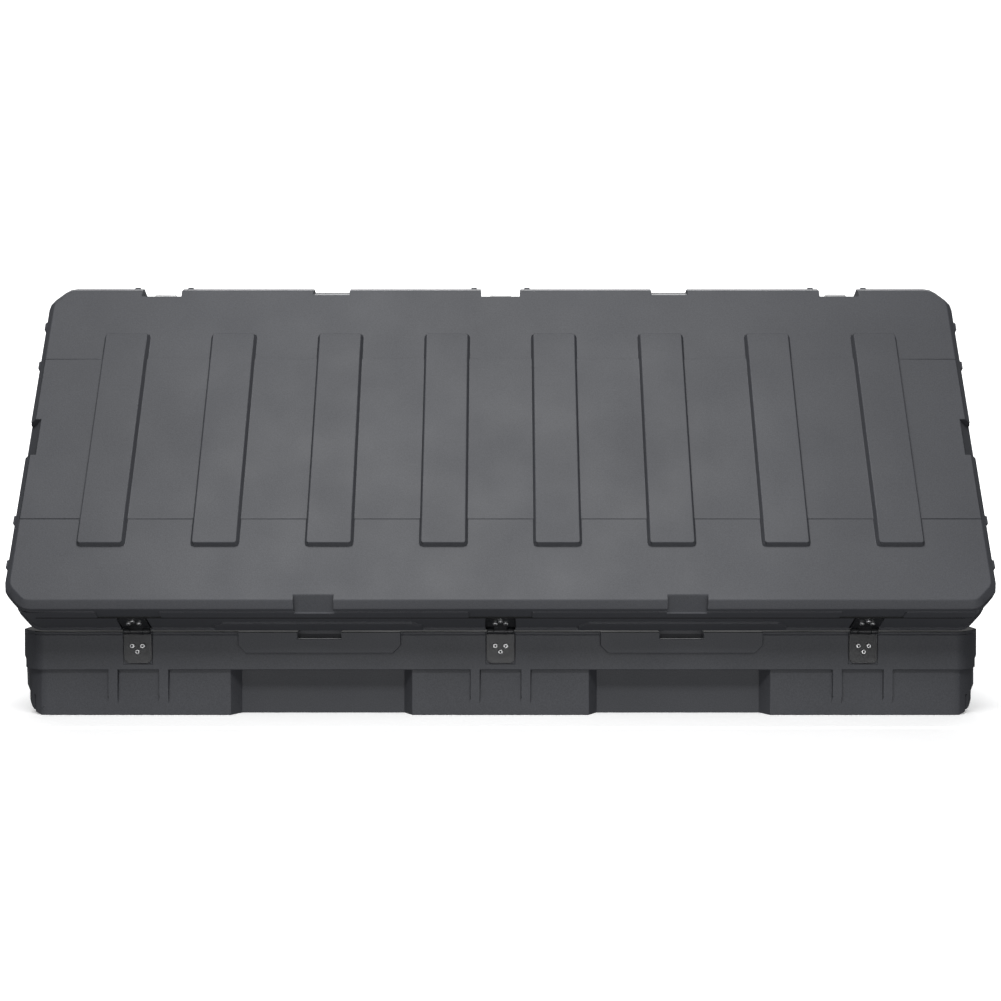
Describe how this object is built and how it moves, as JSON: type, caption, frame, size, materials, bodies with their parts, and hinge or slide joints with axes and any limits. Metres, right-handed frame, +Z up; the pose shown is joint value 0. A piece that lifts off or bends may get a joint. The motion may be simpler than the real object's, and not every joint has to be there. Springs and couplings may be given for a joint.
{
  "type": "transport case",
  "caption": "Long shallow moulded transport case with a hinged ribbed lid, swing latches, strap slots and hand recesses.",
  "frame": {"origin": "middle of the base's flat underside", "axes": "+X along the case, -Y towards the hinges, +Z up"},
  "size_m": [1.395, 0.6185, 0.6372],
  "materials": {
    "moulded_shell": "satin moulded polyethylene with a fine grain",
    "hinge_steel": "black powder coat",
    "stainless_steel": "brushed stainless",
    "screw_steel": "bright stainless",
    "seal_rubber": "matte extruded rubber",
    "black_nylon": "glass-filled nylon, fine texture"
  },
  "bodies": {
    "base": {"base_shell": "moulded_shell", "pressure_valve": "black_nylon", "hinge_left_base_leaf": "hinge_steel", "hinge_left_pin": "hinge_steel", "hinge_left_base_screw_1": "screw_steel", "hinge_left_base_screw_2": "screw_steel", "hinge_left_base_screw_3": "screw_steel", "latch_left_bracket": "stainless_steel", "latch_left_pin": "stainless_steel", "latch_left_screw_1": "screw_steel", "latch_left_screw_2": "screw_steel", "hinge_middle_base_leaf": "hinge_steel", "hinge_middle_pin": "hinge_steel", "hinge_middle_base_screw_1": "screw_steel", "hinge_middle_base_screw_2": "screw_steel", "hinge_middle_base_screw_3": "screw_steel", "latch_middle_bracket": "stainless_steel", "latch_middle_pin": "stainless_steel", "latch_middle_screw_1": "screw_steel", "latch_middle_screw_2": "screw_steel", "hinge_right_base_leaf": "hinge_steel", "hinge_right_pin": "hinge_steel", "hinge_right_base_screw_1": "screw_steel", "hinge_right_base_screw_2": "screw_steel", "hinge_right_base_screw_3": "screw_steel", "latch_right_bracket": "stainless_steel", "latch_right_pin": "stainless_steel", "latch_right_screw_1": "screw_steel", "latch_right_screw_2": "screw_steel"},
    "lid": {"lid_shell": "moulded_shell", "lid_gasket": "seal_rubber", "hinge_left_lid_leaf": "hinge_steel", "keeper_left": "stainless_steel", "hinge_left_lid_screw_1": "screw_steel", "hinge_left_lid_screw_2": "screw_steel", "hinge_left_lid_screw_3": "screw_steel", "keeper_left_screw_1": "screw_steel", "keeper_left_screw_2": "screw_steel", "hinge_middle_lid_leaf": "hinge_steel", "keeper_middle": "stainless_steel", "hinge_middle_lid_screw_1": "screw_steel", "hinge_middle_lid_screw_2": "screw_steel", "hinge_middle_lid_screw_3": "screw_steel", "keeper_middle_screw_1": "screw_steel", "keeper_middle_screw_2": "screw_steel", "hinge_right_lid_leaf": "hinge_steel", "keeper_right": "stainless_steel", "hinge_right_lid_screw_1": "screw_steel", "hinge_right_lid_screw_2": "screw_steel", "hinge_right_lid_screw_3": "screw_steel", "keeper_right_screw_1": "screw_steel", "keeper_right_screw_2": "screw_steel"},
    "latch_left": {"latch_left_arm": "black_nylon"},
    "latch_middle": {"latch_middle_arm": "black_nylon"},
    "latch_right": {"latch_right_arm": "black_nylon"}
  },
  "joints": [
    {"name": "lid_hinge", "type": "hinge", "parent": "base", "child": "lid", "pos_m": [0, -0.2705, 0.1225], "axis": [1, 0, 0], "range_deg": [-63, 47]},
    {"name": "latch_left_swing", "type": "hinge", "parent": "base", "child": "latch_left", "pos_m": [-0.521, 0.2685, 0.1095], "axis": [1, 0, 0], "range_deg": [0, 180]},
    {"name": "latch_middle_swing", "type": "hinge", "parent": "base", "child": "latch_middle", "pos_m": [0, 0.2685, 0.1095], "axis": [1, 0, 0], "range_deg": [0, 180]},
    {"name": "latch_right_swing", "type": "hinge", "parent": "base", "child": "latch_right", "pos_m": [0.521, 0.2685, 0.1095], "axis": [1, 0, 0], "range_deg": [0, 180]}
  ]
}
